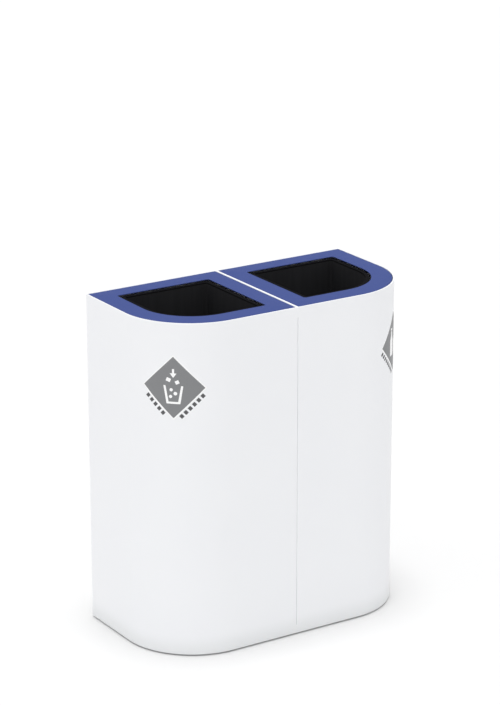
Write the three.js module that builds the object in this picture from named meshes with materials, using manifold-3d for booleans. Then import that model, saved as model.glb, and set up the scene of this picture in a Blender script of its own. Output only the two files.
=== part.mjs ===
// Double recycling bin: two sheet-steel modules bolted side by side.
// Each module is square in plan with its outer front corner rolled to a quarter round. It holds a lift-out
// liner under a hinged lid with an open mouth.
// Millimetres. X to the right, Y to the back, Z up. The origin is on the floor, at the centre of the plan.
import * as THREE from 'three';
import { mergeVertices } from 'three/addons/utils/BufferGeometryUtils.js';
import Module from 'manifold-3d';

const wasm = await Module();
wasm.setup();

// ---- Driving dimensions ----

// One module, seen from above.
const moduleWidth = 330;
const moduleDepth = 330;
const cornerRadius = 165; // rolled outer front corner
const overallHeight = 755; // floor to the top of the rim
const footGap = 3.5; // floor to the bottom edge of the shell

// Shell: one sheet bent round, hemmed at the top and flanged at the bottom.
const shellSheet = 1.5;
const hemDepth = 12;
const bottomFlange = 16;
const edgeRadius = 1.2; // rounding of the top hem and of the bottom bend
const bendRadius = 3; // outside of the bent rear outer corner
const sharpBend = 0.6; // inside of a tight bend
const seamHalfWidth = 1.3; // groove where the two shells' front and back bends meet
const seamTopStop = 21; // filled and ground flush above the groove
const seamBottomStop = 19;

// Base pan, spot-welded on the bottom flange.
const panSheet = 1.5;
const panFlange = 25;
const panFit = 0.5; // between the pan's flange and the shell

// Lid: folded plate with a skirt, flush with the rim.
const lidSheet = 1.5;
const lidGap = 0.9; // between the skirt and the rim
const lidSkirt = 12;
const lidBend = 3;
const lidBorder = 45; // edge of the lid to its mouth
const mouthRadius = 120; // round corner of the mouth
const mouthSmallRadius = 6;

// Hinges under the back edge of the lid.
const hingeInset = 80; // from each side of the module
const hingeWidth = 44;
const hingeSetback = 14; // rim to the pin's axis
const hingeSheet = 1.5;
const knuckleRadius = 3.2;
const knuckleGap = 0.4; // between neighbouring knuckles
const leafLength = 22;
const bracketFlange = 28;
const pinRadius = 1.5;
const pinClearance = 0.3;
const pinHeadRadius = 2.6;
const pinHeadLength = 1.2;
const swingClearance = 0.8; // between what swings and what stands still
const notchClearance = 1.5; // beside a hinge, in the lid's skirt

// Lid rests and their rubber bumpers.
const restLength = 50;
const restFlange = 20;
const restShelf = 15;
const restSheet = 1.5;
const bumperRadius = 5;
const bumperHeight = 3;
const bumperStemRadius = 2;
const bumperBarb = 0.8; // how far the barb stands out past its hole
const bumperBarbHeight = 3;
const bumperInset = 7; // outline of the module to the bumper's centre
const stemClearance = 0.3;

// Liner: tapered rigid tub with a turned-down lip.
const linerClearance = 3; // lip to the lid's mouth
const linerTopGap = 1; // lip to the lid's underside
const linerWall = 2.5;
const linerLipWidth = 7;
const linerLipDepth = 10;
const linerTaper = 4; // each side, from the lip to the foot
const linerCorner = 8;
const linerCornerLeast = 2;
const linerFootRadius = 8;
const linerEdge = 1.2;
const slotLength = 84;
const slotHeight = 24;
const slotDrop = 100; // top of the lip to the middle of a hand slot

// Angles on the base pan that keep the liner's foot in place.
const guideLeg = 50;
const guideHeight = 25;
const guideSheet = 1.5;
const guideClearance = 2;

// Glide feet.
const footRadius = 15;
const footChamfer = 1;
const footInset = 34; // outline of the module to a foot's centre
const footStemRadius = 3;
const footBarb = 1;
const footBarbHeight = 3.5;

// Bolts and nuts that join the two modules.
const boltRadius = 3;
const boltHeadWidth = 10; // across the flats
const boltHeadHeight = 4;
const boltHoleClearance = 0.4;
const boltEnd = 2; // thread standing past the nut
const nutHeight = 5;
const boltFromMiddle = 100; // front and back of the middle of the module
const boltFromEnd = 80; // from the bottom edge and from the rim

// Fineness of the round stretches.
const largeCornerSteps = 18;
const smallCornerSteps = 3;
const turnedSteps = 14;
const boreSteps = 12;

// ---- Sizes that follow ----

const bottomEdge = footGap;
const rimThickness = 2 * shellSheet;
const panUnderside = bottomEdge + shellSheet;
const panTop = panUnderside + panSheet;
const panInset = shellSheet + panFit;
const lidInset = rimThickness + lidGap;
const lidUnderside = overallHeight - lidSheet;
const skirtBottom = overallHeight - lidSkirt;
const mouthInset = lidInset + lidBorder;
const front = -moduleDepth / 2;
const back = moduleDepth / 2;

const hingeY = back - rimThickness - hingeSetback;
const hingeZ = lidUnderside - knuckleGap - knuckleRadius;
const tailReach = Math.hypot(hingeSetback - lidGap, overallHeight - hingeZ);
const bracketShelfTop = hingeZ - tailReach - swingClearance;

const linerTop = lidUnderside - linerTopGap;
const lipInset = mouthInset + linerClearance;
const linerTopInset = lipInset + linerLipWidth;
const linerFootInset = linerTopInset + linerTaper;

// ---- Materials ----

function finish(color, roughness, metalness) {
  return new THREE.MeshStandardMaterial({ color, roughness, metalness });
}

const whiteCoat = finish(0xf0f1f2, 0.45, 0);
const blueCoat = finish(0x51609a, 0.45, 0);
const blackPlastic = finish(0x19191b, 0.6, 0);
const rubber = finish(0x202020, 0.85, 0);
const zincSteel = finish(0xb9bcc0, 0.4, 0.9);

// ---- Geometry helpers ----

// A geometry with shared vertices only, as a solid for joining and cutting.
function solid(geometry) {
  const bare = geometry.clone();
  bare.deleteAttribute('normal');
  bare.deleteAttribute('uv');
  const merged = mergeVertices(bare, 1e-4);
  const vertProperties = new Float32Array(merged.attributes.position.array);
  const triVerts = new Uint32Array(merged.index.array);
  return new wasm.Manifold(new wasm.Mesh({ numProp: 3, vertProperties, triVerts }));
}

function geometryOf(manifold) {
  const mesh = manifold.getMesh();
  const geometry = new THREE.BufferGeometry();
  geometry.setAttribute('position', new THREE.BufferAttribute(mesh.vertProperties, 3));
  geometry.setIndex(new THREE.BufferAttribute(mesh.triVerts, 1));
  return geometry;
}

function joined(...geometries) {
  return geometryOf(geometries.map(solid).reduce((whole, next) => whole.add(next)));
}

function cut(geometry, ...cutters) {
  return geometryOf(cutters.map(solid).reduce((whole, next) => whole.subtract(next), solid(geometry)));
}

// The points of one corner of an outline, counter-clockwise. Corner 0 is front outer, then rear outer,
// rear centre and front centre. With no steps it stays square.
function cornerPoints(x, y, index, radius, steps) {
  if (steps === 0) return [[x, y]];
  const inwardX = index === 0 || index === 1 ? -1 : 1;
  const inwardY = index === 0 || index === 3 ? 1 : -1;
  const start = (index - 1) * Math.PI / 2;
  return Array.from({ length: steps + 1 }, (_, step) => {
    const angle = start + step / steps * Math.PI / 2;
    return [x + radius * (inwardX + Math.cos(angle)), y + radius * (inwardY + Math.sin(angle))];
  });
}

// The module's outline drawn in by an inset, for the module on the +X side.
function outline({ inset, large, small, centreSteps = 0 }) {
  const outer = moduleWidth - inset;
  const low = front + inset;
  const high = back - inset;
  return [
    ...cornerPoints(outer, low, 0, large, largeCornerSteps),
    ...cornerPoints(outer, high, 1, small, smallCornerSteps),
    ...cornerPoints(inset, high, 2, small, centreSteps),
    ...cornerPoints(inset, low, 3, small, centreSteps),
  ];
}

// A closed body from a stack of rings with equal numbers of points. A pan or a tub closes its first and
// last rings with flat ends, and a hoop joins its last ring to its first.
function ringBody(rings, hoop) {
  const count = rings[0].length;
  const index = [];
  const bands = hoop ? rings.length : rings.length - 1;
  for (let band = 0; band < bands; band++) {
    const lower = band * count;
    const upper = (band + 1) % rings.length * count;
    for (let i = 0; i < count; i++) {
      const next = (i + 1) % count;
      index.push(lower + i, lower + next, upper + next, lower + i, upper + next, upper + i);
    }
  }
  if (!hoop) {
    const last = (rings.length - 1) * count;
    for (let i = 1; i < count - 1; i++) {
      index.push(0, i + 1, i);
      index.push(last, last + i, last + i + 1);
    }
  }
  const geometry = new THREE.BufferGeometry();
  geometry.setAttribute('position', new THREE.Float32BufferAttribute(rings.flat(2), 3));
  geometry.setIndex(index);
  return geometry;
}

// A profile of insets and heights swept round the module's outline.
function swept(profile, hoop, centreSteps = 0) {
  const rings = profile.map(([inset, z, large, small]) => {
    return outline({ inset, large, small, centreSteps }).map(([x, y]) => [x, y, z]);
  });
  return ringBody(rings, hoop);
}

// Profile points of a quarter round, in inset and height, turning about a centre.
function quarter(centreInset, centreZ, radius, fromDegrees, toDegrees, steps = 3) {
  return Array.from({ length: steps + 1 }, (_, step) => {
    const angle = THREE.MathUtils.degToRad(fromDegrees + (toDegrees - fromDegrees) * step / steps);
    return [centreInset + radius * Math.cos(angle), centreZ + radius * Math.sin(angle)];
  });
}

// Radii that keep a sheet's bends concentric with the shell's.
function withShellRadii(points) {
  return points.map(([inset, z]) => {
    return [inset, z, cornerRadius - inset, Math.max(bendRadius - inset, sharpBend)];
  });
}

function box(x0, y0, z0, x1, y1, z1) {
  const geometry = new THREE.BoxGeometry(x1 - x0, y1 - y0, z1 - z0);
  return geometry.translate((x0 + x1) / 2, (y0 + y1) / 2, (z0 + z1) / 2);
}

// A turned piece standing along Z, from a profile of radii and heights that starts and ends on the axis.
function turned(profile, steps = turnedSteps) {
  const points = profile.map(([radius, z]) => new THREE.Vector2(radius, z));
  return new THREE.LatheGeometry(points, steps).rotateX(Math.PI / 2);
}

// A round or hexagonal bar along X, from x0 to x1.
function barX(radius, x0, x1, y = 0, z = 0, steps = boreSteps) {
  const geometry = new THREE.CylinderGeometry(radius, radius, x1 - x0, steps);
  return geometry.rotateZ(-Math.PI / 2).translate((x0 + x1) / 2, y, z);
}

function barZ(radius, z0, z1, x, y, steps = boreSteps) {
  const geometry = new THREE.CylinderGeometry(radius, radius, z1 - z0, steps);
  return geometry.rotateX(Math.PI / 2).translate(x, y, (z0 + z1) / 2);
}

// An outline drawn in Y and Z, drawn out along X from x0 to x1.
function extrudedX(points, x0, x1) {
  const shape = new THREE.Shape(points.map(([y, z]) => new THREE.Vector2(y, z)));
  const geometry = new THREE.ExtrudeGeometry(shape, { depth: x1 - x0, bevelEnabled: false });
  const turn = new THREE.Matrix4().makeBasis(
    new THREE.Vector3(0, 1, 0),
    new THREE.Vector3(0, 0, 1),
    new THREE.Vector3(1, 0, 0),
  );
  return geometry.applyMatrix4(turn).translate(x0, 0, 0);
}

// ---- Pieces of one module, for the +X side ----

function boltPlaces() {
  const heights = [bottomEdge + boltFromEnd, overallHeight - boltFromEnd];
  return heights.flatMap((z) => [[-boltFromMiddle, z], [boltFromMiddle, z]]);
}

// A square bar turned on its edge, which leaves a V groove in the corner where the two shells meet.
function seamCutter(y) {
  const length = overallHeight - seamTopStop - bottomEdge - seamBottomStop;
  const side = seamHalfWidth * Math.SQRT2;
  const bar = new THREE.BoxGeometry(side, side, length).rotateZ(Math.PI / 4);
  return bar.translate(0, y, bottomEdge + seamBottomStop + length / 2);
}

function shell() {
  const top = overallHeight - edgeRadius;
  const profile = [
    ...quarter(edgeRadius, bottomEdge + edgeRadius, edgeRadius, 270, 180),
    ...quarter(edgeRadius, top, edgeRadius, 180, 90),
    ...quarter(rimThickness - edgeRadius, top, edgeRadius, 90, 0),
    [rimThickness, overallHeight - hemDepth],
    [shellSheet, overallHeight - hemDepth],
    [shellSheet, bottomEdge + shellSheet],
    [bottomFlange, bottomEdge + shellSheet],
    [bottomFlange, bottomEdge],
  ];
  const holeRadius = boltRadius + boltHoleClearance;
  const holes = boltPlaces().map(([y, z]) => barX(holeRadius, -shellSheet, 2 * shellSheet, y, z));
  return cut(swept(withShellRadii(profile), true), seamCutter(front), seamCutter(back), ...holes);
}

function footPlaces() {
  const outer = moduleWidth - footInset;
  const low = front + footInset;
  const high = back - footInset;
  const diagonal = (cornerRadius - footInset) * Math.SQRT1_2;
  return {
    rear_outer: [outer, high],
    rear_centre: [footInset, high],
    front_centre: [footInset, low],
    round_corner: [moduleWidth - cornerRadius + diagonal, front + cornerRadius - diagonal],
  };
}

function basePan() {
  const points = [
    [panInset + edgeRadius, panUnderside],
    [panInset, panUnderside + edgeRadius],
    [panInset, panUnderside + panFlange],
    [panInset + panSheet, panUnderside + panFlange],
    [panInset + panSheet, panTop],
  ];
  const holes = Object.values(footPlaces()).map(([x, y]) => {
    return barZ(footStemRadius + stemClearance, panUnderside - panSheet, panTop + panSheet, x, y);
  });
  return cut(swept(withShellRadii(points), false), ...holes);
}

function foot() {
  const barbStart = panTop + stemClearance;
  return turned([
    [0, 0],
    [footRadius - footChamfer, 0],
    [footRadius, footChamfer],
    [footRadius, panUnderside],
    [footStemRadius, panUnderside],
    [footStemRadius, barbStart],
    [footStemRadius + footBarb, barbStart],
    [footStemRadius - footBarb, barbStart + footBarbHeight],
    [0, barbStart + footBarbHeight],
  ]);
}

function hingePlaces() {
  return [hingeInset, moduleWidth - hingeInset];
}

function lid() {
  const bendInset = lidInset + lidBend;
  const bendZ = overallHeight - lidBend;
  const withLidRadii = ([inset, z]) => {
    return [inset, z, cornerRadius - inset, Math.max(lidBend + lidInset - inset, sharpBend)];
  };
  const profile = [
    [mouthInset, overallHeight, mouthRadius, mouthSmallRadius],
    [mouthInset, lidUnderside, mouthRadius, mouthSmallRadius],
    ...[
      ...quarter(bendInset, bendZ, lidBend - lidSheet, 90, 180),
      [lidInset + lidSheet, skirtBottom],
      [lidInset, skirtBottom],
      ...quarter(bendInset, bendZ, lidBend, 180, 90),
    ].map(withLidRadii),
  ];
  const halfNotch = hingeWidth / 2 + knuckleGap + pinHeadLength + notchClearance;
  const notches = hingePlaces().map((x) => {
    const inner = back - bendInset - lidSheet;
    return box(x - halfNotch, inner, skirtBottom - lidSheet, x + halfNotch, back, lidUnderside);
  });
  return cut(swept(profile, true, smallCornerSteps), ...notches);
}

// The hinge pieces are drawn about the pin's axis: X along the pin, at the middle of the hinge.
function knuckleWidth() {
  return hingeWidth / 3;
}

function bore() {
  return barX(pinRadius + pinClearance, -hingeWidth, hingeWidth, 0, 0, turnedSteps);
}

function hingeBracket() {
  const wall = back - shellSheet - hingeY;
  const shelfTop = bracketShelfTop - hingeZ;
  const riser = -knuckleRadius;
  const half = hingeWidth / 2;
  const section = [
    [wall, shelfTop - bracketFlange],
    [wall, shelfTop],
    [riser + hingeSheet, shelfTop],
    [riser + hingeSheet, 0],
    [riser, 0],
    [riser, shelfTop - hingeSheet],
    [wall - hingeSheet, shelfTop - hingeSheet],
    [wall - hingeSheet, shelfTop - bracketFlange],
  ];
  const room = knuckleWidth() / 2 + knuckleGap;
  const reach = knuckleRadius + knuckleGap;
  const gap = box(-room, -reach, -reach, room, reach, reach);
  const knuckles = barX(knuckleRadius, -half, half, 0, 0, turnedSteps);
  return cut(joined(extrudedX(section, -half, half), knuckles), gap, bore());
}

function hingeLeaf() {
  const half = hingeWidth / 2;
  const middle = knuckleWidth() / 2;
  const under = lidUnderside - hingeZ;
  const plateEnd = -knuckleRadius - knuckleGap;
  const plate = box(-half, -leafLength, under - hingeSheet, half, plateEnd, under);
  const tongue = box(-middle, plateEnd - hingeSheet, under - hingeSheet, middle, 0, under);
  const knuckle = barX(knuckleRadius, -middle, middle, 0, 0, turnedSteps);
  return cut(joined(plate, tongue, knuckle), bore());
}

function hingePin() {
  const shoulder = hingeWidth / 2 + knuckleGap;
  const end = shoulder + pinHeadLength;
  return turned([
    [0, -end],
    [pinHeadRadius, -end],
    [pinHeadRadius, -shoulder],
    [pinRadius, -shoulder],
    [pinRadius, shoulder],
    [pinHeadRadius, shoulder],
    [pinHeadRadius, end],
    [0, end],
  ], boreSteps).rotateY(Math.PI / 2);
}

// An angle with its upright flange at y = 0 and its shelf reaching to -Y, centred on X.
// Its top is at z = 0.
function lidRest() {
  const half = restLength / 2;
  const section = [
    [0, -restFlange],
    [0, 0],
    [-restShelf, 0],
    [-restShelf, -restSheet],
    [-restSheet, -restSheet],
    [-restSheet, -restFlange],
  ];
  const holeRadius = bumperStemRadius + stemClearance;
  const hole = barZ(holeRadius, -2 * restSheet, restSheet, 0, shellSheet - bumperInset);
  return cut(extrudedX(section, -half, half), hole);
}

function lidBumper() {
  const barbStart = -restSheet - stemClearance;
  const stem = bumperStemRadius;
  return turned([
    [0, barbStart - bumperBarbHeight],
    [stem - bumperBarb, barbStart - bumperBarbHeight],
    [stem + bumperBarb, barbStart],
    [stem, barbStart],
    [stem, 0],
    [bumperRadius, 0],
    [bumperRadius, bumperHeight],
    [0, bumperHeight],
  ], boreSteps);
}

// Where each rest stands: a place on a wall's inner face and the turn that points its shelf inwards.
function restPlaces() {
  const frontFlat = (moduleWidth - cornerRadius) / 2;
  const sideFlat = (front + cornerRadius + back) / 2;
  return {
    front: [frontFlat, front + shellSheet, Math.PI],
    side: [moduleWidth - shellSheet, sideFlat, -Math.PI / 2],
    centre: [shellSheet, front + moduleDepth / 4, Math.PI / 2],
  };
}

function linerRadii(inset) {
  const large = mouthRadius - (inset - mouthInset);
  const small = Math.max(linerCorner + linerTopInset - inset, linerCornerLeast);
  return [large, small];
}

function liner() {
  const floor = panTop + linerWall;
  const lip = lipInset + linerWall;
  const foot = linerFootInset + linerFootRadius;
  const innerFoot = linerFootRadius - linerWall;
  const points = [
    ...quarter(foot, panTop + linerFootRadius, linerFootRadius, 270, 180, 2),
    [linerTopInset, linerTop - linerWall],
    [lip, linerTop - linerWall],
    [lip, linerTop - linerLipDepth],
    [lipInset, linerTop - linerLipDepth],
    [lipInset, linerTop - linerEdge],
    [lipInset + linerEdge, linerTop],
    [linerTopInset + linerWall - linerEdge, linerTop],
    [linerTopInset + linerWall, linerTop - linerEdge],
    ...quarter(foot, floor + innerFoot, innerFoot, 180, 270, 2),
  ];
  const profile = points.map(([inset, z]) => [inset, z, ...linerRadii(inset)]);
  return cut(swept(profile, false, smallCornerSteps), handSlots());
}

// One rounded bar right across the liner cuts both hand slots.
function slotMiddle() {
  const [large, small] = linerRadii(linerTopInset);
  return (front + large + back - small) / 2;
}

function handSlots() {
  const half = (slotLength - slotHeight) / 2;
  const radius = slotHeight / 2;
  const shape = new THREE.Shape();
  shape.absarc(half, 0, radius, -Math.PI / 2, Math.PI / 2);
  shape.absarc(-half, 0, radius, Math.PI / 2, 3 * Math.PI / 2);
  const points = shape.getPoints(4).map((point) => [point.x + slotMiddle(), point.y + linerTop - slotDrop]);
  return extrudedX(points, lipInset, moduleWidth - lipInset);
}

// An angle seen from above, with its corner at the origin and its legs along +X and +Y.
function linerGuide() {
  const shape = new THREE.Shape([
    new THREE.Vector2(0, 0),
    new THREE.Vector2(guideLeg, 0),
    new THREE.Vector2(guideLeg, guideSheet),
    new THREE.Vector2(guideSheet, guideSheet),
    new THREE.Vector2(guideSheet, guideLeg),
    new THREE.Vector2(0, guideLeg),
  ]);
  return new THREE.ExtrudeGeometry(shape, { depth: guideHeight, bevelEnabled: false });
}

function guidePlaces() {
  const inset = linerFootInset - guideClearance - guideSheet;
  return {
    front: [inset, front + inset, 0],
    rear: [moduleWidth - inset, back - inset, Math.PI],
  };
}

// ---- Bolts and nuts through the centre walls, drawn about the bolt's axis ----

const hexRadius = boltHeadWidth / Math.sqrt(3);

function joiningBolt() {
  const shank = barX(boltRadius, -shellSheet - boltHeadHeight / 2, shellSheet + nutHeight + boltEnd);
  return joined(shank, barX(hexRadius, -shellSheet - boltHeadHeight, -shellSheet, 0, 0, 6));
}

function joiningNut() {
  const hole = barX(boltRadius + pinClearance, 0, 2 * nutHeight);
  return cut(barX(hexRadius, shellSheet, shellSheet + nutHeight, 0, 0, 6), hole);
}

// ---- Assembly ----

const group = new THREE.Group();

function place(parent, name, geometry, material, position = [0, 0, 0], turn = 0) {
  const mesh = new THREE.Mesh(geometry, material);
  mesh.name = name;
  mesh.position.set(...position);
  mesh.rotation.z = turn;
  parent.add(mesh);
}

function module(side) {
  const parts = new THREE.Group();
  place(parts, `shell_${side}`, shell(), whiteCoat);
  place(parts, `base_pan_${side}`, basePan(), whiteCoat);
  place(parts, `lid_${side}`, lid(), blueCoat);
  place(parts, `liner_${side}`, liner(), blackPlastic);
  for (const [where, [x, y]] of Object.entries(footPlaces())) {
    place(parts, `foot_${side}_${where}`, foot(), blackPlastic, [x, y, 0]);
  }
  for (const [where, [x, y, turn]] of Object.entries(guidePlaces())) {
    place(parts, `liner_guide_${side}_${where}`, linerGuide(), zincSteel, [x, y, panTop], turn);
  }
  for (const [where, [x, y, turn]] of Object.entries(restPlaces())) {
    const z = skirtBottom - bumperHeight;
    const reach = bumperInset - shellSheet;
    place(parts, `lid_rest_${side}_${where}`, lidRest(), whiteCoat, [x, y, z], turn);
    const bumper = [x + reach * Math.sin(turn), y - reach * Math.cos(turn), z];
    place(parts, `lid_bumper_${side}_${where}`, lidBumper(), rubber, bumper);
  }
  hingePlaces().forEach((x, index) => {
    const where = ['centre', 'outer'][index];
    const axis = [x, hingeY, hingeZ];
    place(parts, `hinge_bracket_${side}_${where}`, hingeBracket(), whiteCoat, axis);
    place(parts, `hinge_leaf_${side}_${where}`, hingeLeaf(), blueCoat, axis);
    place(parts, `hinge_pin_${side}_${where}`, hingePin(), zincSteel, axis);
  });
  return parts;
}

const right = module('right');
const left = module('left');
left.scale.x = -1;
group.add(left, right);

boltPlaces().forEach(([y, z], index) => {
  place(group, `joining_bolt_${index + 1}`, joiningBolt(), zincSteel, [0, y, z]);
  place(group, `joining_nut_${index + 1}`, joiningNut(), zincSteel, [0, y, z]);
});

export default group;
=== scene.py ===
# Double recycling bin: its finished pieces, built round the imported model.
# In metres, with X to the right, Y to the back and Z up. The pieces of a module are drawn for the right one,
# and mirrored for the left one.
import math
import bmesh
import bpy
from mathutils import Matrix, Vector


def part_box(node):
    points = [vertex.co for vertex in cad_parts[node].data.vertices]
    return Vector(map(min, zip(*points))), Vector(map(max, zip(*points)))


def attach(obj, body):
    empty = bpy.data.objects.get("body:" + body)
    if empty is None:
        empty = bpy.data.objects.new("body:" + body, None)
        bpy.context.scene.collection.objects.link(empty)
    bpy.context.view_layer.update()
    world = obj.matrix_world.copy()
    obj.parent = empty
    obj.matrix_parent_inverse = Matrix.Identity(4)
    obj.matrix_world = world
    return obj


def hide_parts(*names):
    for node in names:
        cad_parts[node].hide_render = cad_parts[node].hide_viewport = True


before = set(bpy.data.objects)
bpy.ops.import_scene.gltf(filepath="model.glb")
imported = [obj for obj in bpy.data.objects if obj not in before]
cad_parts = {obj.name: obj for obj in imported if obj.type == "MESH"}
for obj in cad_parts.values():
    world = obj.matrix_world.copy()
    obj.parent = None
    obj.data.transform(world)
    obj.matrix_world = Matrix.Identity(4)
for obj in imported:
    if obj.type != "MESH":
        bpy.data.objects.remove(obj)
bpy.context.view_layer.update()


# ---- Shells ----
# A white powder-coated steel sheet for each module, rolled to a quarter round at the outer front corner and
# bent square at the others, its top edge hemmed and its foot flanged inwards. The two stand face to face,
# and their bends leave a shallow groove up the front and the back, ground flush near its ends.

SIDES = {"right": 1, "left": -1}
shell_low, shell_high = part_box("shell_right")
WIDTH = shell_high.x
FRONT = shell_low.y
BACK = shell_high.y
SHELL_FOOT = shell_low.z
RIM = shell_high.z
SHEET = 0.0015
CORNER_RADIUS = WIDTH / 2
CORNER_STEPS = 72
BEND_RADIUS = 0.003
BEND_STEPS = 6
TIGHT_BEND = 0.0006
HEM = 0.012
HEM_THICKNESS = 2 * SHEET
FOOT_FLANGE = 0.016
EDGE_ROUND = 0.0012
EDGE_SEGMENTS = 3
GROOVE_RADIUS = 0.0022
SEAM_GAP = 0.0003
GROOVE_FADE = 0.003
GROOVE_FROM_RIM = 0.021
GROOVE_FROM_FOOT = 0.019
FLUSH = 0.00005
CUT_EDGE = 0.0003
SHARP_ANGLE = 35
COAT_TONES = (238, 239, 242), (241, 242, 244)
# Painted shade towards the floor: its tone, the height it starts at, and how strongly and how patchily it
# darkens the coat.
FOOT_SHADE_TONE = (229, 231, 232)
FOOT_SHADE_HEIGHT = 0.050
FOOT_SHADE_SHARE = 0.8
FOOT_SHADE_PATCHES = 0.15


def corner_arc(x, y, quarter, radius, steps):
    """Rounds the corner at x, y of a counter-clockwise outline. Quarter 0 is the front outer corner."""
    start = (quarter - 1) * math.pi / 2
    middle = start + math.pi / 4
    centre_x = x - math.copysign(radius, math.cos(middle))
    centre_y = y - math.copysign(radius, math.sin(middle))
    angles = [start + step / steps * math.pi / 2 for step in range(steps + 1)]
    return [(centre_x + radius * math.cos(a), centre_y + radius * math.sin(a)) for a in angles]


def outline(inset, large, small, centre, apart=0.0):
    """The module seen from above, drawn in by an inset, with the radius of each corner.

    Its centre wall may stand a little further apart from the other module's.
    """
    return [
        *corner_arc(WIDTH - inset, FRONT + inset, 0, large, CORNER_STEPS),
        *corner_arc(WIDTH - inset, BACK - inset, 1, small, BEND_STEPS),
        *corner_arc(inset + apart, BACK - inset, 2, centre, BEND_STEPS),
        *corner_arc(inset + apart, FRONT + inset, 3, centre, BEND_STEPS),
    ]


def bands(starts, count):
    """The faces between rings of so many points, each ring given by the number of its first point."""
    faces = []
    for lower, upper in zip(starts, starts[1:]):
        for i in range(count):
            j = (i + 1) % count
            faces.append((lower + i, lower + j, upper + j, upper + i))
    return faces


def swept(profile, hoop):
    """A body of rings round the module, each with its inset, its height and the radii of its corners.

    A hoop joins its last ring to its first, and a tub has flat ends.
    """
    rings = [[(x, y, z) for x, y in outline(inset, *corners)] for inset, z, *corners in profile]
    count = len(rings[0])
    points = [point for ring in rings for point in ring]
    starts = list(range(0, len(points), count))
    if hoop:
        return points, bands(starts + [0], count)
    ends = [tuple(range(count)), tuple(range(starts[-1], len(points)))]
    return points, bands(starts, count) + ends


def arc(centre_inset, centre_z, radius, start, end, steps=BEND_STEPS):
    """A round stretch of a profile, from one angle to another in degrees."""
    angles = [math.radians(start + (end - start) * step / steps) for step in range(steps + 1)]
    return [(centre_inset + radius * math.cos(a), centre_z + radius * math.sin(a)) for a in angles]


def with_shell_radii(profile, centre=TIGHT_BEND, apart=0.0):
    """Gives the points of a profile corners that run parallel with the shell's."""
    rings = []
    for inset, z in profile:
        small = max(BEND_RADIUS - inset, TIGHT_BEND)
        rings.append((inset, z, CORNER_RADIUS - inset, small, centre, apart))
    return rings


def shell_shape():
    top = RIM - EDGE_ROUND
    groove_low = SHELL_FOOT + GROOVE_FROM_FOOT
    groove_high = RIM - GROOVE_FROM_RIM
    below = arc(EDGE_ROUND, SHELL_FOOT + EDGE_ROUND, EDGE_ROUND, 270, 180) + [(0, groove_low)]
    groove = [(0, groove_low + GROOVE_FADE), (0, groove_high - GROOVE_FADE)]
    above = [(0, groove_high)] + arc(EDGE_ROUND, top, EDGE_ROUND, 180, 90)
    inside = arc(HEM_THICKNESS - EDGE_ROUND, top, EDGE_ROUND, 90, 0) + [
        (HEM_THICKNESS, RIM - HEM + CUT_EDGE),
        (HEM_THICKNESS - CUT_EDGE, RIM - HEM),
        (SHEET, RIM - HEM),
        (SHEET, SHELL_FOOT + SHEET),
        (FOOT_FLANGE - CUT_EDGE, SHELL_FOOT + SHEET),
        (FOOT_FLANGE, SHELL_FOOT + SHEET - CUT_EDGE),
        (FOOT_FLANGE, SHELL_FOOT),
    ]
    profile = [
        *with_shell_radii(below, FLUSH),
        *with_shell_radii(groove, GROOVE_RADIUS, SEAM_GAP / 2),
        *with_shell_radii(above, FLUSH),
        *with_shell_radii(inside),
    ]
    return swept(profile, hoop=True)


class Wire:
    """A socket of a material's nodes. A sum, difference or product of wires adds a Math node."""

    def __init__(self, socket):
        self.socket = socket

    def feed(self, node, sockets):
        """Gives a node's sockets their values or wires."""
        for name, value in sockets.items():
            if isinstance(value, Wire):
                self.socket.id_data.links.new(value.socket, node.inputs[name])
            else:
                node.inputs[name].default_value = value

    def node(self, kind, settings, sockets, output=0):
        """Adds a node, with its settings first and then the values or wires of its sockets."""
        made = self.socket.id_data.nodes.new(kind)
        for name, value in settings.items():
            setattr(made, name, value)
        self.feed(made, sockets)
        return Wire(made.outputs[output])

    def output(self, name):
        """Another output of the same node."""
        return Wire(self.socket.node.outputs[name])

    def maths(self, operation, *values):
        return self.node("ShaderNodeMath", {"operation": operation}, dict(enumerate(values)))

    def __add__(self, other):
        return self.maths("ADD", self, other)

    def __radd__(self, other):
        return self.maths("ADD", other, self)

    def __sub__(self, other):
        return self.maths("SUBTRACT", self, other)

    def __rsub__(self, other):
        return self.maths("SUBTRACT", other, self)

    def __mul__(self, other):
        return self.maths("MULTIPLY", self, other)

    def __rmul__(self, other):
        return self.maths("MULTIPLY", other, self)


def coordinates(owner, kind):
    """The first wire of a material or a world: the place in the piece, or the direction in the sky."""
    owner.use_nodes = True
    return Wire(owner.node_tree.nodes.new("ShaderNodeTexCoord").outputs[kind])


def noise(place, scale, detail=2.0):
    """Soft noise from 0 to 1, with so many waves to the metre."""
    return place.node("ShaderNodeTexNoise", {}, {"Vector": place, "Scale": scale, "Detail": detail})


def linear(tone):
    """A colour in 0 to 255, as it looks on a screen, turned by the sRGB curve to what the shader counts."""
    shares = [value / 255 for value in tone]
    return (*[s / 12.92 if s <= 0.04045 else ((s + 0.055) / 1.055) ** 2.4 for s in shares], 1.0)


def blended(factor, low, high):
    """A colour between two. Each is a wire, or is given as it looks on a screen."""
    low, high = [colour if isinstance(colour, Wire) else linear(colour) for colour in (low, high)]
    first_colour, second_colour, mixed_colour = 6, 7, 2
    sockets = {"Factor": factor, first_colour: low, second_colour: high}
    return factor.node("ShaderNodeMix", {"data_type": "RGBA"}, sockets, output=mixed_colour)


def faded(place, start, end):
    """0 at the height of start and 1 at the height of end, rising smoothly between them."""
    height = place.node("ShaderNodeSeparateXYZ", {}, {0: place}, output="Z")
    sockets = {"Value": height, "From Min": start, "From Max": end}
    return place.node("ShaderNodeMapRange", {"interpolation_type": "SMOOTHSTEP"}, sockets)


def bump(height, strength, distance):
    return height.node("ShaderNodeBump", {}, {"Height": height, "Strength": strength, "Distance": distance})


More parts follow.
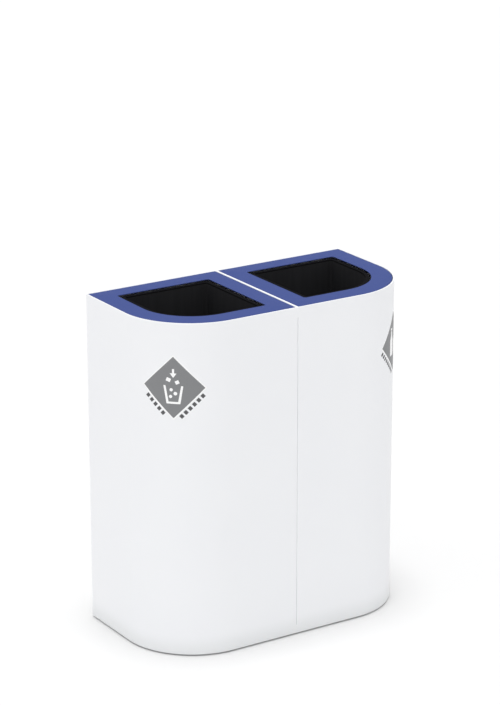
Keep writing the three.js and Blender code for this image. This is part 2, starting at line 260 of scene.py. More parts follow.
def material(name, paint):
    """A material whose paint function turns the place in the piece into the shader's sockets."""
    made = bpy.data.materials.new(name)
    place = coordinates(made, "Object")
    place.feed(made.node_tree.nodes["Principled BSDF"], paint(place))
    return made


def paint_white_coat(place):
    drift = noise(place, scale=5)
    peel = noise(place, scale=450, detail=3)
    clean = blended(drift, *COAT_TONES)
    # Painted shade: the coat is painted darker in patches over its lowest 50 mm, towards the floor, in place
    # of the shade there.
    foot_shade_patches = FOOT_SHADE_SHARE + FOOT_SHADE_PATCHES * noise(place, scale=60, detail=4)
    dust_and_shade = foot_shade_patches * faded(place, FOOT_SHADE_HEIGHT, SHELL_FOOT)
    return {
        "Base Color": blended(dust_and_shade, clean, FOOT_SHADE_TONE),
        "Roughness": 0.36 + 0.1 * noise(place, scale=40),
        "Specular IOR Level": 0.4,
        "Normal": bump(peel, strength=0.06, distance=0.0004),
    }


white_coat = material("white_powder_coat", paint_white_coat)


def mirrored(shape, side):
    points, faces = shape
    return [(x * SIDES[side], y, z) for x, y, z in points], faces


def piece(name, shape, coat, edge=0.0, sharp=SHARP_ANGLE):
    """A closed body as an object, with its faces turned outwards.

    An edge counts as sharp from an angle in degrees, and sharp edges are rounded by the width of edge.
    """
    points, faces = shape
    mesh = bpy.data.meshes.new(name)
    mesh.from_pydata(points, [], faces)
    mesh.materials.append(coat)
    body = bmesh.new()
    body.from_mesh(mesh)
    bmesh.ops.recalc_face_normals(body, faces=body.faces)
    body.to_mesh(mesh)
    body.free()
    mesh.shade_smooth()
    mesh.set_sharp_from_angle(angle=math.radians(sharp))
    made = bpy.data.objects.new(name, mesh)
    bpy.context.scene.collection.objects.link(made)
    if edge:
        rounding = made.modifiers.new("rounding", "BEVEL")
        rounding.width = edge
        rounding.segments = EDGE_SEGMENTS
        rounding.limit_method = "ANGLE"
        rounding.angle_limit = math.radians(sharp)
        rounding.harden_normals = True
    else:
        made.modifiers.new("flat faces", "WEIGHTED_NORMAL").keep_sharp = True
    return made


def fit(node, shape, coat, body="body", edge=0.0, sharp=SHARP_ANGLE):
    """Makes the piece of each module that stands for a node, named with SIDE where the side's name goes."""
    for side in SIDES:
        name = node.replace("SIDE", side)
        made = piece(f"finished_{name}", mirrored(shape, side), coat, edge, sharp)
        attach(made, body.replace("SIDE", side))
        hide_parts(name)


fit("shell_SIDE", shell_shape(), white_coat)


# ---- Base pans ----
# A white powder-coated tray in the foot of each shell, folded up all round and spot-welded to the shell's
# flange. It carries the liner, and the feet are pressed through it.

pan_low, pan_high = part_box("base_pan_right")
PAN_INSET = pan_low.x
PAN_BEND = 0.0022
CUT_ANGLE = 50


def pan_shape():
    floor = pan_low.z + SHEET
    inner_bend = PAN_BEND - SHEET
    profile = [
        *arc(PAN_INSET + PAN_BEND, pan_low.z + PAN_BEND, PAN_BEND, 270, 180),
        (PAN_INSET, pan_high.z),
        (PAN_INSET + SHEET, pan_high.z),
        *arc(PAN_INSET + PAN_BEND, floor + inner_bend, inner_bend, 180, 270),
    ]
    return swept(with_shell_radii(profile), hoop=False)


fit("base_pan_SIDE", pan_shape(), white_coat, edge=CUT_EDGE, sharp=CUT_ANGLE)


# ---- Feet ----
# Four black plastic glides under each module, each moulded with a barbed stem that snaps through a hole in
# the pan. The foot of a glide is slightly dished.

FOOT_EDGE = 0.0012
FOOT_SHOULDER = 0.0004
FOOT_DISH = 0.0006
DISH_SHARE = 0.55
TREAD_SHARE = 0.62
STEM_RADIUS = 0.003
BARB = 0.001
BARB_PLAY = 0.0003
TURN_STEPS = 48
PLASTIC_TONES = (25, 25, 27), (31, 31, 33)


def turned(profile):
    """A body turned about Z from radii and heights that start and end on the axis."""
    (_, low), *rings, (_, high) = profile
    turns = [step / TURN_STEPS * 2 * math.pi for step in range(TURN_STEPS)]
    points = [(r * math.cos(a), r * math.sin(a), z) for r, z in rings for a in turns]
    faces = bands(range(0, len(points), TURN_STEPS), TURN_STEPS)
    last = len(points) - TURN_STEPS
    foot, head = len(points), len(points) + 1
    for i in range(TURN_STEPS):
        j = (i + 1) % TURN_STEPS
        faces.append((foot, j, i))
        faces.append((head, last + i, last + j))
    return points + [(0, 0, low), (0, 0, high)], faces


def moved(shape, x, y, z, turn=None):
    """The shape turned by a rotation matrix and moved to a place."""
    points, faces = shape
    matrix = Matrix.Translation((x, y, z)) @ (turn or Matrix())
    return [tuple(matrix @ Vector(point)) for point in points], faces


def foot_shape(low, high):
    radius = (high.x - low.x) / 2
    seat = pan_low.z
    barb = seat + SHEET + BARB_PLAY
    profile = [
        (0, FOOT_DISH),
        (radius * DISH_SHARE, FOOT_DISH),
        (radius * TREAD_SHARE, 0),
        *arc(radius - FOOT_EDGE, FOOT_EDGE, FOOT_EDGE, 270, 360),
        (radius, seat - FOOT_SHOULDER),
        (radius - FOOT_SHOULDER, seat),
        (STEM_RADIUS, seat),
        (STEM_RADIUS, barb),
        (STEM_RADIUS + BARB, barb),
        (STEM_RADIUS - BARB, high.z),
        (0, high.z),
    ]
    return moved(turned(profile), (low.x + high.x) / 2, (low.y + high.y) / 2, 0)


def stretched(place, x, y, z):
    """The place in the piece, with so many waves to the metre along each axis for a noise of scale 1."""
    sockets = {0: place, 1: (x, y, z)}
    return place.node("ShaderNodeVectorMath", {"operation": "MULTIPLY"}, sockets)


def paint_black_plastic(place):
    grain = noise(place, scale=1400, detail=3)
    rubbed = noise(stretched(place, 60, 60, 6), scale=1, detail=3)
    return {
        "Base Color": blended(rubbed, *PLASTIC_TONES),
        "Roughness": 0.5 + 0.16 * rubbed,
        "Specular IOR Level": 0.2,
        "Normal": bump(grain, strength=0.25, distance=0.0003),
    }


black_plastic = material("black_plastic", paint_black_plastic)

for corner in ("rear_outer", "rear_centre", "front_centre", "round_corner"):
    foot = foot_shape(*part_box(f"foot_right_{corner}"))
    fit(f"foot_SIDE_{corner}", foot, black_plastic)


# ---- Joining bolts and nuts ----
# Four M6 hexagon bolts of zinc-plated steel hold the two centre walls together, heads in the left module and
# nuts in the right.

BOLTS = 4
BOLT_RADIUS = 0.003
HEXAGON = 0.010
HEXAGON_STEPS = 60
HEXAGON_SHARP_ANGLE = 25
CHAMFER_RADIUS = 0.0047
CHAMFER_ANGLE = 30
SHANK_IN_HEAD = 0.001
THREAD_PITCH = 0.001
THREAD_DEPTH = 0.0006
QUARTER_TURN = Matrix.Rotation(math.pi / 2, 4, "Y")
ZINC_TONES = (176, 180, 184), (205, 206, 203)


def hexagon(low, high):
    """A hexagonal head or nut about Z, chamfered at both ends."""
    turns = [step / HEXAGON_STEPS * 2 * math.pi for step in range(HEXAGON_STEPS)]
    sixth = math.pi / 3
    reach = [HEXAGON / 2 / math.cos((a + sixth / 2) % sixth - sixth / 2) for a in turns]
    slope = math.tan(math.radians(CHAMFER_ANGLE))
    drops = [(r - CHAMFER_RADIUS) * slope for r in reach]
    round_ring = [CHAMFER_RADIUS] * HEXAGON_STEPS
    rings = [
        (round_ring, [low] * HEXAGON_STEPS),
        (reach, [low + drop for drop in drops]),
        (reach, [high - drop for drop in drops]),
        (round_ring, [high] * HEXAGON_STEPS),
    ]
    points = []
    for radii, heights in rings:
        points += [(r * math.cos(a), r * math.sin(a), z) for r, a, z in zip(radii, turns, heights)]
    starts = range(0, len(points), HEXAGON_STEPS)
    ends = [tuple(range(HEXAGON_STEPS)), tuple(range(starts[-1], len(points)))]
    return points, bands(starts, HEXAGON_STEPS) + ends


def together(*shapes):
    """Several closed bodies as one shape."""
    points, faces = [], []
    for more_points, more_faces in shapes:
        faces += [tuple(i + len(points) for i in face) for face in more_faces]
        points += more_points
    return points, faces


def threaded(radius, low, high):
    """A thread's crests and roots, up to a chamfered end."""
    root = radius - THREAD_DEPTH
    chamfer = THREAD_DEPTH / 2
    profile = [(0, low), (root, low)]
    for turn in range(int((high - low) / THREAD_PITCH)):
        profile.append((radius, low + (turn + 0.5) * THREAD_PITCH))
        profile.append((root, low + (turn + 1) * THREAD_PITCH))
    profile += [(root, high - chamfer), (root - chamfer, high), (0, high)]
    return turned(profile)


def paint_zinc(place):
    spangle = noise(place, scale=300, detail=4)
    drawn = noise(stretched(place, 60, 2500, 2500), scale=1)
    return {
        "Base Color": blended(spangle, *ZINC_TONES),
        "Metallic": 1.0,
        "Roughness": 0.3 + 0.2 * spangle,
        "Normal": bump(drawn, strength=0.1, distance=0.0001),
    }


zinc = material("zinc_steel", paint_zinc)

for number in range(1, BOLTS + 1):
    for kind in ("bolt", "nut"):
        node = f"joining_{kind}_{number}"
        low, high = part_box(node)
        if kind == "bolt":
            head_end = -SHEET
            shank = threaded(BOLT_RADIUS, head_end - SHANK_IN_HEAD, high.x)
            shape = together(hexagon(low.x, head_end), shank)
        else:
            shape = hexagon(low.x, high.x)
        shape = moved(shape, 0, (low.y + high.y) / 2, (low.z + high.z) / 2, QUARTER_TURN)
        fastener = piece(f"finished_{node}", shape, zinc, sharp=HEXAGON_SHARP_ANGLE)
        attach(fastener, "body")
        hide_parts(node)


# ---- Liner guides ----
# Two short angles of zinc-plated steel strip, bent square and spot-welded to each base pan at two corners of
# the liner's foot, which comes down between them.

GUIDE_BEND = 0.002
FOLD_STEPS = 5


def bent(corners, radius):
    """The middle line of a strip through its corners, rounded at each."""
    corners = [Vector(corner) for corner in corners]
    path = corners[:1]
    for before, corner, after in zip(corners, corners[1:], corners[2:]):
        start = corner + (before - corner).normalized() * radius
        end = corner + (after - corner).normalized() * radius
        for step in range(FOLD_STEPS + 1):
            t = step / FOLD_STEPS
            path.append(start * (1 - t) ** 2 + corner * 2 * t * (1 - t) + end * t ** 2)
    return path + corners[-1:]


def strip(path, sheet, low, high):
    """A strip of sheet metal whose section follows a path in two axes, drawn out along the third."""
    left, right = [], []
    for index, point in enumerate(path):
        along = path[min(index + 1, len(path) - 1)] - path[max(index - 1, 0)]
        across = Vector((-along.y, along.x)).normalized() * sheet / 2
        left.append(point + across)
        right.append(point - across)
    section = left + right[::-1]
    count = len(section)
    points = [(p.x, p.y, z) for z in (low, high) for p in section]
    faces = bands((0, count), count)
    faces += [(i, i + 1, count - 2 - i, count - 1 - i) for i in range(len(path) - 1)]
    faces += [tuple(i + count for i in face) for face in faces[count:]]
    return points, faces


for where in ("front", "rear"):
    low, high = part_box(f"liner_guide_right_{where}")
    leg = high.x - low.x
    half = SHEET / 2
    path = bent([(leg, half), (half, half), (half, leg)], GUIDE_BEND)
    corner, turn = (low, 0) if where == "front" else (high, math.pi)
    angle = strip(path, SHEET, 0, high.z - low.z)
    guide = moved(angle, corner.x, corner.y, low.z, Matrix.Rotation(turn, 4, "Z"))
    fit(f"liner_guide_SIDE_{where}", guide, zinc, edge=CUT_EDGE, sharp=CUT_ANGLE)


# ---- Lid rests and bumpers ----
# Three small white angles spot-welded inside each shell, on the front, the side and the centre wall. A black
# rubber bumper with a barbed stem is pulled through each, and the lid's skirt comes down on it.

REST_BEND = 0.0018
BUMPER_RADIUS = 0.005
BUMPER_CROWN = 0.001
BUMPER_CHAMFER = 0.0003
BUMPER_STEM = 0.002
BUMPER_BARB = 0.0008
ALONG_X = Matrix(((0, 0, 1, 0), (1, 0, 0, 0), (0, 1, 0, 0), (0, 0, 0, 1)))
RUBBER_TONES = (27, 27, 28), (38, 38, 38)


def rest_shape(length, flange, shelf):
    """An angle with its flange at y = 0 and its shelf towards -Y, its top at z = 0, centred on X."""
    half = SHEET / 2
    path = bent([(-half, -flange), (-half, -half), (-shelf, -half)], REST_BEND)
    return moved(strip(path, SHEET, -length / 2, length / 2), 0, 0, 0, ALONG_X)


def bumper_shape(low, high, shelf_top):
    stem_foot = low.z - shelf_top
    height = high.z - shelf_top
    barb = -SHEET - BARB_PLAY
    profile = [
        (0, stem_foot),
        (BUMPER_STEM - BUMPER_BARB, stem_foot),
        (BUMPER_STEM + BUMPER_BARB, barb),
        (BUMPER_STEM, barb),
        (BUMPER_STEM, 0),
        (BUMPER_RADIUS - BUMPER_CHAMFER, 0),
        (BUMPER_RADIUS, BUMPER_CHAMFER),
        *arc(BUMPER_RADIUS - BUMPER_CROWN, height - BUMPER_CROWN, BUMPER_CROWN, 0, 90),
        (0, height),
    ]
    return moved(turned(profile), (low.x + high.x) / 2, (low.y + high.y) / 2, shelf_top)


def paint_rubber(place):
    dust_and_shade = noise(place, scale=500, detail=4)
    return {
        "Base Color": blended(dust_and_shade, *RUBBER_TONES),
        "Roughness": 0.75 + 0.15 * dust_and_shade,
        "Specular IOR Level": 0.3,
        "Normal": bump(noise(place, scale=3000), strength=0.2, distance=0.0001),
    }


rubber = material("black_rubber", paint_rubber)

for where, turn in (("front", math.pi), ("side", -math.pi / 2), ("centre", math.pi / 2)):
    low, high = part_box(f"lid_rest_right_{where}")
    middle = (low + high) / 2
    x = {"front": middle.x, "side": high.x, "centre": low.x}[where]
    y = {"front": low.y, "side": middle.y, "centre": middle.y}[where]
    length, shelf = sorted((high.x - low.x, high.y - low.y), reverse=True)
    rest = moved(rest_shape(length, high.z - low.z, shelf), x, y, high.z, Matrix.Rotation(turn, 4, "Z"))
    fit(f"lid_rest_SIDE_{where}", rest, white_coat, edge=CUT_EDGE, sharp=CUT_ANGLE)
    bumper = bumper_shape(*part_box(f"lid_bumper_right_{where}"), high.z)
    fit(f"lid_bumper_SIDE_{where}", bumper, rubber)


# ---- Lids ----
# A blue powder-coated steel plate for each module, folded down all round to a skirt that drops inside the
# rim, with one large mouth that follows the outline. The skirt and bend are notched where the hinges pass.

lid_low, lid_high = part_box("lid_right")
LID_INSET = lid_low.x
LID_TOP = lid_high.z
LID_BEND = 0.003
LID_BORDER = 0.045
MOUTH_RADIUS = 0.120
MOUTH_SMALL_RADIUS = 0.006
MOUTH_INSET = LID_INSET + LID_BORDER
LID_UNDERSIDE = LID_TOP - SHEET
NOTCH_CLEARANCE = 0.0015
HINGES = ("centre", "outer")
BLUE_TONES = (66, 80, 136), (69, 83, 139)


def cut(shape, *cutters):
    """The shape less its cutters."""
    objects = [piece("blank", body, white_coat) for body in (shape, together(*cutters))]
    for made in objects:
        made.modifiers.clear()
    blank, cutter = objects
    carving = blank.modifiers.new("carving", "BOOLEAN")
    carving.object = cutter
    carving.operation = "DIFFERENCE"
    carving.solver = "EXACT"
    result = blank.evaluated_get(bpy.context.evaluated_depsgraph_get()).to_mesh()
    points = [tuple(vertex.co) for vertex in result.vertices]
    faces = [tuple(face.vertices) for face in result.polygons]
    for made in objects:
        bpy.data.objects.remove(made)
    return points, faces


def block(low, high):
    """A plain block between two corners, used only to cut with."""
    xs, ys, zs = zip(low, high)
    points = [(x, y, z) for x in xs for y in ys for z in zs]
    faces = [(0, 1, 3, 2), (4, 6, 7, 5), (0, 4, 5, 1), (2, 3, 7, 6), (0, 2, 6, 4), (1, 5, 7, 3)]
    return points, faces


def lid_shape():
    bend_inset = LID_INSET + LID_BEND
    bend_z = LID_TOP - LID_BEND
    folded = [
        *arc(bend_inset, bend_z, LID_BEND - SHEET, 90, 180),
        (LID_INSET + SHEET, lid_low.z),
        (LID_INSET, lid_low.z),
        *arc(bend_inset, bend_z, LID_BEND, 180, 90),
    ]
    mouth = (MOUTH_INSET, LID_TOP), (MOUTH_INSET, LID_UNDERSIDE)
    profile = [(inset, z, MOUTH_RADIUS, MOUTH_SMALL_RADIUS, MOUTH_SMALL_RADIUS) for inset, z in mouth]
    for inset, z in folded:
        bend = max(LID_BEND + LID_INSET - inset, TIGHT_BEND)
        profile.append((inset, z, CORNER_RADIUS - inset, bend, bend))
    inner = BACK - bend_inset - SHEET
    notches = []
    for hinge in HINGES:
        low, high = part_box(f"hinge_pin_right_{hinge}")
        notches.append(block(
            (low.x - NOTCH_CLEARANCE, inner, lid_low.z - SHEET),
            (high.x + NOTCH_CLEARANCE, BACK, LID_UNDERSIDE),
        ))
    return cut(swept(profile, hoop=True), *notches)


def paint_blue_coat(place):
    drift = noise(place, scale=7)
    peel = noise(place, scale=500, detail=3)
    return {
        "Base Color": blended(drift, *BLUE_TONES),
        "Roughness": 0.5 + 0.1 * noise(place, scale=60),
        "Specular IOR Level": 0.02,
        "Normal": bump(peel, strength=0.08, distance=0.0004),
    }


blue_coat = material("blue_powder_coat", paint_blue_coat)

fit("lid_SIDE", lid_shape(), blue_coat, "lid_SIDE", edge=CUT_EDGE, sharp=CUT_ANGLE)


# ---- Hinges ----
# Two at the back of each lid. A white bracket, folded from sheet and spot-welded to the back wall, is rolled
# round a zinc-plated pin at both ends. A blue leaf welded under the lid is rolled round its middle.

PIN_RADIUS = 0.0015
PIN_EDGE = 0.0005
PIN_HEAD = 0.0012
PIN_HEAD_RADIUS = 0.0026
KNUCKLE_RADIUS = 0.0032
KNUCKLE_SHEET = 0.0014
KNUCKLE_GAP = 0.0004
ROLL_RADIUS = KNUCKLE_RADIUS - KNUCKLE_SHEET / 2
ROLL_STEPS = 20
BRACKET_BEND = 0.0018
BRACKET_FLANGE = 0.028
LEAF_BEND = 0.0008
LEAF_SETBACK = 0.0012
LEAF_RISE = 0.0018
HINGE_EDGE = 0.0002


def roll(start, end):
    """A stretch of a strip's middle line rolled round the pin, from one angle to another in degrees."""
    angles = [math.radians(start + (end - start) * step / ROLL_STEPS) for step in range(ROLL_STEPS + 1)]
    return [Vector((ROLL_RADIUS * math.cos(a), ROLL_RADIUS * math.sin(a))) for a in angles]


def bracket_shape(width, wall, flange_foot, shelf_top):
    half = SHEET / 2
    corners = [
        (wall - half, flange_foot),
        (wall - half, shelf_top - half),
        (-ROLL_RADIUS, shelf_top - half),
        (-ROLL_RADIUS, 0),
    ]
    path = bent(corners, BRACKET_BEND)[:-1] + roll(start=180, end=-110)
    sheet = moved(strip(path, SHEET, -width / 2, width / 2), 0, 0, 0, ALONG_X)
    room = width / 6 + KNUCKLE_GAP
    reach = KNUCKLE_RADIUS + KNUCKLE_GAP
    return cut(sheet, block((-room, -reach, -reach), (room, reach, reach)))


def leaf_shape(width, length, underside):
    plate = underside - SHEET / 2
    corners = [
        (-length, plate),
        (-KNUCKLE_RADIUS - LEAF_SETBACK, plate),
        (-LEAF_RISE, ROLL_RADIUS),
        (0, ROLL_RADIUS),
    ]
    path = bent(corners, LEAF_BEND)[:-1] + roll(start=90, end=-170)
    sheet = moved(strip(path, KNUCKLE_SHEET, -width / 2, width / 2), 0, 0, 0, ALONG_X)
    front = -KNUCKLE_RADIUS - KNUCKLE_GAP
    reach = 2 * KNUCKLE_RADIUS
    ends = []
    for side in (-1, 1):
        near, far = sorted((side * width / 6, side * width))
        ends.append(block((near, front, -reach), (far, reach, reach)))
    return cut(sheet, *ends)


def pin_shape(length):
    end = length / 2
    half = [
        (PIN_RADIUS, end - PIN_HEAD),
        (PIN_HEAD_RADIUS, end - PIN_HEAD),
        *arc(PIN_HEAD_RADIUS - PIN_EDGE, end - PIN_EDGE, PIN_EDGE, 0, 90),
        (0, end),
    ]
    other = [(radius, -z) for radius, z in reversed(half)]
    return moved(turned(other + half), 0, 0, 0, QUARTER_TURN)


for hinge in HINGES:
    pin_low, pin_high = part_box(f"hinge_pin_right_{hinge}")
    axis = (pin_low + pin_high) / 2
    low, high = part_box(f"hinge_bracket_right_{hinge}")
    flange_foot = low.z - axis.z
    bracket = bracket_shape(high.x - low.x, high.y - axis.y, flange_foot, flange_foot + BRACKET_FLANGE)
    low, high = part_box(f"hinge_leaf_right_{hinge}")
    leaf = leaf_shape(high.x - low.x, axis.y - low.y, high.z - axis.z)
    pin = pin_shape(pin_high.x - pin_low.x)
    bracket, leaf, pin = [moved(shape, *axis) for shape in (bracket, leaf, pin)]
    fit(f"hinge_bracket_SIDE_{hinge}", bracket, white_coat, edge=HINGE_EDGE)
    fit(f"hinge_leaf_SIDE_{hinge}", leaf, blue_coat, "lid_SIDE", edge=HINGE_EDGE)
    fit(f"hinge_pin_SIDE_{hinge}", pin, zinc)


# ---- Liners ----
# A rigid black tub moulded in polyethylene for each module. It tapers to its foot, has a turned-down lip and
# a hand slot in its centre and outer walls, and lifts out through the mouth of the lid.

liner_low, liner_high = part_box("liner_right")
LIP_INSET = liner_low.x
LINER_TOP = liner_high.z
LINER_FOOT = liner_low.z
LINER_WALL = 0.0025
LIP_WIDTH = 0.007
LIP_DEPTH = 0.010
LINER_TAPER = 0.004
LINER_CORNER = 0.008
LINER_TIGHT_CORNER = 0.002
LINER_EDGE = 0.0012
LINER_FOOT_RADIUS = 0.008
SLOT_LENGTH = 0.084
SLOT_HEIGHT = 0.024
SLOT_DROP = 0.100
SLOT_EDGE = 0.0006
SLOT_STEPS = 16
# The lip's tone is painted shade, darker than the plastic. The walls' scratched tones are painted lighter as
# painted light. The change comes between one and two depths below the top.
LIP_PAINTED_SHADE_TONE = (18, 18, 20)
RUBBED_AND_PAINTED_LIGHT_TONES = (37, 37, 39), (47, 47, 49)
PAINTED_LIGHT_DEPTH = 0.002


def liner_radii(inset):
    """The radii of the liner's corners, the large one parallel with the mouth's."""
    small = max(LINER_CORNER + LIP_INSET + LIP_WIDTH - inset, LINER_TIGHT_CORNER)
    return MOUTH_RADIUS - (inset - MOUTH_INSET), small, small


def liner_shape():
    wall_top = LIP_INSET + LIP_WIDTH
    lip = LIP_INSET + LINER_WALL
    foot = wall_top + LINER_TAPER + LINER_FOOT_RADIUS
    inner_radius = LINER_FOOT_RADIUS - LINER_WALL
    profile = [
        *arc(foot, LINER_FOOT + LINER_FOOT_RADIUS, LINER_FOOT_RADIUS, 270, 180),
        (wall_top, LINER_TOP - LINER_WALL),
        (lip, LINER_TOP - LINER_WALL),
        (lip, LINER_TOP - LIP_DEPTH),
        (LIP_INSET, LINER_TOP - LIP_DEPTH),
        *arc(LIP_INSET + LINER_EDGE, LINER_TOP - LINER_EDGE, LINER_EDGE, 180, 90),
        *arc(wall_top + LINER_WALL - LINER_EDGE, LINER_TOP - LINER_EDGE, LINER_EDGE, 90, 0),
        *arc(foot, LINER_FOOT + LINER_WALL + inner_radius, inner_radius, 180, 270),
    ]
    tub = swept([(inset, z, *liner_radii(inset)) for inset, z in profile], hoop=False)
    large, small, _ = liner_radii(wall_top)
    slot_middle = (FRONT + large + BACK - small) / 2
    half = (SLOT_LENGTH - SLOT_HEIGHT) / 2
    middle = LINER_TOP - SLOT_DROP
    radius = SLOT_HEIGHT / 2
    slot = arc(slot_middle + half, middle, radius, -90, 90, SLOT_STEPS)
    slot += arc(slot_middle - half, middle, radius, 90, 270, SLOT_STEPS)
    count = len(slot)
    points = [(x, y, z) for x in (LIP_INSET, WIDTH - LIP_INSET) for y, z in slot]
    faces = bands((0, count), count) + [tuple(range(count)), tuple(range(count, 2 * count))]
    return cut(tub, (points, faces))


def paint_liner(place):
    grain = noise(place, scale=1400, detail=3)
    scratched = noise(stretched(place, 120, 120, 8), scale=1, detail=4)
    # Painted light and shade: below the lip, the walls carry scratch streaks and are painted lighter against
    # the shade inside the tub. The lip is painted darker against the light on it.
    painted_light_below_lip = faded(place, LINER_TOP - PAINTED_LIGHT_DEPTH, LINER_TOP - 2 * PAINTED_LIGHT_DEPTH)
    return {
        "Base Color": blended(painted_light_below_lip, LIP_PAINTED_SHADE_TONE, blended(scratched, *RUBBED_AND_PAINTED_LIGHT_TONES)),
        "Roughness": 0.62 + 0.16 * scratched,
        "Specular IOR Level": 0.01,
        "Normal": bump(grain, strength=0.25, distance=0.0003),
    }


liner_plastic = material("black_liner_plastic", paint_liner)

liner = liner_shape()
fit("liner_SIDE", liner, liner_plastic, "liner_SIDE", edge=SLOT_EDGE, sharp=CUT_ANGLE)


# ---- Labels ----
# A grey vinyl diamond on a white one, stuck round each round corner, with a row of plain grey blocks along
# each lower edge. A white drawing shows waste falling into a bin on the left one, and a bottle and a can on
# the right one.

LABEL_HALF = 0.0679
LABEL_DROP = 0.14175
LABEL_EDGE = 0.0035
LABEL_SHIFT = {"left": (0, 0), "right": (0.005, 0.004)}
FILM = 0.0001
FILM_STEP = 0.004
STROKE = 0.0046
DISC_STEPS = 24
BLOCK_HEIGHT = 0.0085
BLOCK_OFFSET = 0.009
BLOCK_SHARE = 0.62
BLOCK_ROWS = {"left": ((5, 0.0122), (6, 0.0127)), "right": ((9, 0.0096), (9, 0.0096))}
DIAGONAL = math.sqrt(0.5)
VINYL_CLOUD = 0.985


def film(flat_points, lift, shift):
    """A thin closed film with a flat outline, wrapped on the round corner of the right module."""
    flat = bmesh.new()
    for height in (lift, lift + FILM):
        flat.faces.new([flat.verts.new((u, v, height)) for u, v in flat_points])
    rim_low, rim_high = [list(face.verts) for face in flat.faces]
    count = len(rim_low)
    for i in range(count):
        j = (i + 1) % count
        flat.faces.new((rim_low[i], rim_low[j], rim_high[j], rim_high[i]))
    reach = int(2 * LABEL_HALF / FILM_STEP)
    for fold in range(-reach, reach + 1):
        everything = flat.verts[:] + flat.edges[:] + flat.faces[:]
        bmesh.ops.bisect_plane(flat, geom=everything, plane_co=(fold * FILM_STEP, 0, 0), plane_no=(1, 0, 0))
    flat.verts.index_update()
    points = []
    for vert in flat.verts:
        u, v, height = vert.co
        angle = -math.pi / 4 + (u + shift[0]) / CORNER_RADIUS
        radius = CORNER_RADIUS + height
        x = WIDTH - CORNER_RADIUS + radius * math.cos(angle)
        y = FRONT + CORNER_RADIUS + radius * math.sin(angle)
        points.append((x, y, RIM - LABEL_DROP + v + shift[1]))
    faces = [tuple(vert.index for vert in face.verts) for face in flat.faces]
    flat.free()
    return points, faces


def diamond(half):
    return [(0, -half), (half, 0), (0, half), (-half, 0)]


def oblong(u, v, width, height, turn=0):
    """The corners of an oblong about its centre, turned by an angle in degrees."""
    a = math.radians(turn)
    w, h = width / 2, height / 2
    cosine, sine = math.cos(a), math.sin(a)
    corners = [(-w, -h), (w, -h), (w, h), (-w, h)]
    return [(u + x * cosine - y * sine, v + x * sine + y * cosine) for x, y in corners]


def disc(u, v, radius):
    turns = [step / DISC_STEPS * 2 * math.pi for step in range(DISC_STEPS)]
    return [(u + radius * math.cos(a), v + radius * math.sin(a)) for a in turns]


def row_of_blocks(count, pitch, edge):
    """Plain blocks beside the lower left edge of a diamond, for -1, or the lower right one, for 1."""
    out = LABEL_HALF / 2 + BLOCK_OFFSET * DIAGONAL
    width = pitch * BLOCK_SHARE
    blocks = []
    for number in range(count):
        along = (number - (count - 1) / 2) * pitch * DIAGONAL
        blocks.append(oblong(edge * (out + along), along - out, width, BLOCK_HEIGHT, edge * 45))
    return blocks


def vinyl(name, tone):
    """A label's vinyl of one tone, very faintly clouded."""
    def paint(place):
        cloud = noise(place, scale=90)
        darker = tuple(value * VINYL_CLOUD for value in tone)
        return {
            "Base Color": blended(cloud, darker, tone),
            "Roughness": 0.38 + 0.12 * cloud,
            "Specular IOR Level": 0.35,
            "Normal": bump(noise(place, scale=900), strength=0.04, distance=0.0002),
        }

    return material(name, paint)


def sticker(side, name, outlines, layer, coat):
    """One layer of a label, made of films that don't overlap. The left label's drawing isn't mirrored."""
    drawn = [[(u * SIDES[side], v) for u, v in points] for points in outlines]
    shape = together(*[film(points, layer * FILM, LABEL_SHIFT[side]) for points in drawn])
    made = piece(f"label_{side}_{name}", mirrored(shape, side), coat)
    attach(made, "body")


white_vinyl = vinyl("white_vinyl", (252, 252, 252))
grey_vinyl = vinyl("grey_vinyl", (131, 132, 134))
dark_vinyl = vinyl("dark_grey_vinyl", (88, 88, 90))

BIN_FOOT = -0.036
BIN_MOUTH = 0.004
BIN_FOOT_HALF = 0.015
BIN_MOUTH_HALF = 0.0215
BIN_ICON = [
    [
        (-BIN_MOUTH_HALF, BIN_MOUTH),
        (-BIN_FOOT_HALF, BIN_FOOT),
        (BIN_FOOT_HALF, BIN_FOOT),
        (BIN_MOUTH_HALF, BIN_MOUTH),
        (BIN_MOUTH_HALF - STROKE, BIN_MOUTH),
        (BIN_FOOT_HALF - STROKE, BIN_FOOT + STROKE),
        (STROKE - BIN_FOOT_HALF, BIN_FOOT + STROKE),
        (STROKE - BIN_MOUTH_HALF, BIN_MOUTH),
    ],
    disc(-0.006, -0.020, 0.0036),
    disc(0.0045, -0.013, 0.0040),
    disc(-0.0045, -0.005, 0.0036),
    oblong(0.0085, 0.012, 0.0085, 0.0075, 25),
    oblong(-0.0105, 0.017, 0.0095, 0.0080, -20),
    [
        (-STROKE / 2, 0.041),
        (-STROKE / 2, 0.0315),
        (-0.0075, 0.0315),
        (0, 0.0215),
        (0.0075, 0.0315),
        (STROKE / 2, 0.0315),
        (STROKE / 2, 0.041),
    ],
]
BOTTLE_AND_CAN_ICON = [
    [
        (-0.026, -0.030),
        (-0.006, -0.030),
        (-0.006, 0.006),
        (-0.0115, 0.017),
        (-0.0115, 0.026),
        (-0.0205, 0.026),
        (-0.0205, 0.017),
        (-0.026, 0.006),
    ],
    oblong(-0.016, 0.0305, 0.011, 0.005),
    oblong(0.014, -0.012, 0.022, 0.030),
    oblong(0.014, 0.0060, 0.017, 0.0025),
    oblong(0.014, -0.0300, 0.017, 0.0025),
]

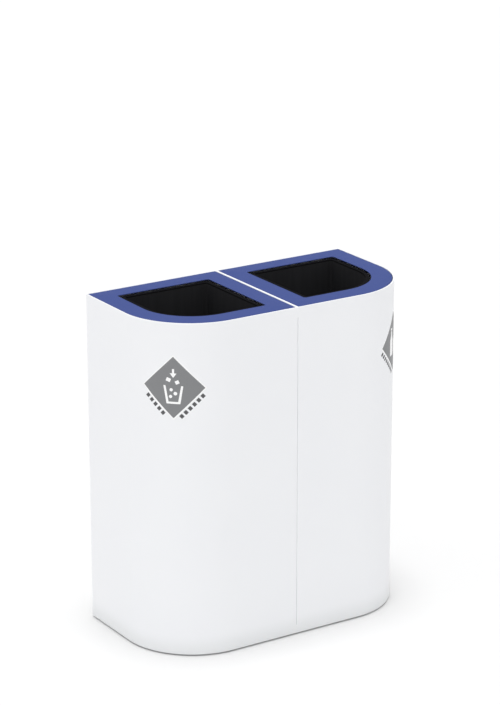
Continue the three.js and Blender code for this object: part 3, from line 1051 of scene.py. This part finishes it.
for side, icon in (("left", BIN_ICON), ("right", BOTTLE_AND_CAN_ICON)):
    blocks = []
    for edge, (count, pitch) in zip((-1, 1), BLOCK_ROWS[side]):
        blocks += row_of_blocks(count, pitch, edge)
    sticker(side, "sheet", [diamond(LABEL_HALF + LABEL_EDGE)], 0, white_vinyl)
    sticker(side, "field", [diamond(LABEL_HALF)], 1, grey_vinyl)
    sticker(side, "icon", icon, 2, white_vinyl)
    sticker(side, "blocks", blocks, 0, dark_vinyl)


# ---- Studio ----
# A white floor that keeps the shadow, white light from all round, a soft lamp straight above, a weaker and
# wider one from the upper left, and the camera where the photograph was taken.

AZIMUTH = math.radians(-32.69)
ELEVATION = math.radians(18.13)
ROLL = math.radians(-0.057)
DISTANCE = 5.868
AIM_HEIGHT = 0.6085
AIM_ASIDE = -0.0132
LENS = 137.24
FLOOR_REACH = 30
FLOOR_BOUNCE = (0.84, 0.84, 0.84, 1)
FLOOR_SHADE = (0.807, 0.807, 0.807, 1)
LAMPS = {
    "top_lamp": ((0, 0, 1), 19, 1.25),
    "left_lamp": ((-0.63, -0.38, 0.68), 105, 0.5),
}
SKY_WHITE = (1, 1, 1, 1)
SKY_LOW = 0.66
SKY_RISE = 0.2


def seen(place):
    """1 for what shows straight, in a reflection or through glass, and 0 for what only gives light."""
    straight = place.node("ShaderNodeLightPath", {}, {})
    reflected = straight.output("Is Glossy Ray")
    clear = straight.output("Is Transmission Ray")
    return straight.maths("MAXIMUM", straight, straight.maths("MAXIMUM", reflected, clear))


floor_mesh = bpy.data.meshes.new("floor")
floor_corners = [(x * FLOOR_REACH, y * FLOOR_REACH, 0) for x, y in ((-1, -1), (1, -1), (1, 1), (-1, 1))]
floor_mesh.from_pydata(floor_corners, [], [(0, 1, 2, 3)])
floor = bpy.data.objects.new("floor", floor_mesh)
bpy.context.scene.collection.objects.link(floor)

floor_paint = bpy.data.materials.new("white_floor")
place = coordinates(floor_paint, "Object")
lighting = place.node("ShaderNodeBsdfDiffuse", {}, {"Color": FLOOR_BOUNCE})
shown = place.node("ShaderNodeBsdfDiffuse", {}, {"Color": FLOOR_SHADE})
surface = place.node("ShaderNodeMixShader", {}, {0: seen(place), 1: lighting, 2: shown})
place.feed(floor_paint.node_tree.nodes["Material Output"], {"Surface": surface})
floor_mesh.materials.append(floor_paint)

sky = bpy.data.worlds.new("white_sky")
direction = coordinates(sky, "Generated")
rise = direction.node("ShaderNodeSeparateXYZ", {}, {0: direction}, output="Z")
white = seen(direction)
light = SKY_LOW + SKY_RISE * rise * rise
background = {"Color": SKY_WHITE, "Strength": white + (1 - white) * light}
direction.feed(sky.node_tree.nodes["Background"], background)
bpy.context.scene.world = sky

for name, (towards, spread, strength) in LAMPS.items():
    lamp_data = bpy.data.lights.new(name, "SUN")
    lamp_data.energy = strength
    lamp_data.angle = math.radians(spread)
    lamp = bpy.data.objects.new(name, lamp_data)
    lamp.rotation_mode = "QUATERNION"
    lamp.rotation_quaternion = Vector(towards).to_track_quat("Z", "Y")
    bpy.context.scene.collection.objects.link(lamp)

away = Vector((
    math.sin(AZIMUTH) * math.cos(ELEVATION),
    -math.cos(AZIMUTH) * math.cos(ELEVATION),
    math.sin(ELEVATION),
))
aside = Vector((math.cos(AZIMUTH), math.sin(AZIMUTH), 0))
camera_data = bpy.data.cameras.new("camera")
camera_data.lens = LENS
camera = bpy.data.objects.new("camera", camera_data)
camera.rotation_mode = "QUATERNION"
camera.location = Vector((0, 0, AIM_HEIGHT)) + aside * AIM_ASIDE + away * DISTANCE
camera.rotation_quaternion = away.to_track_quat("Z", "Y") @ Matrix.Rotation(ROLL, 3, "Z").to_quaternion()
bpy.context.scene.collection.objects.link(camera)
bpy.context.scene.camera = camera
bpy.context.scene.view_settings.view_transform = "Standard"
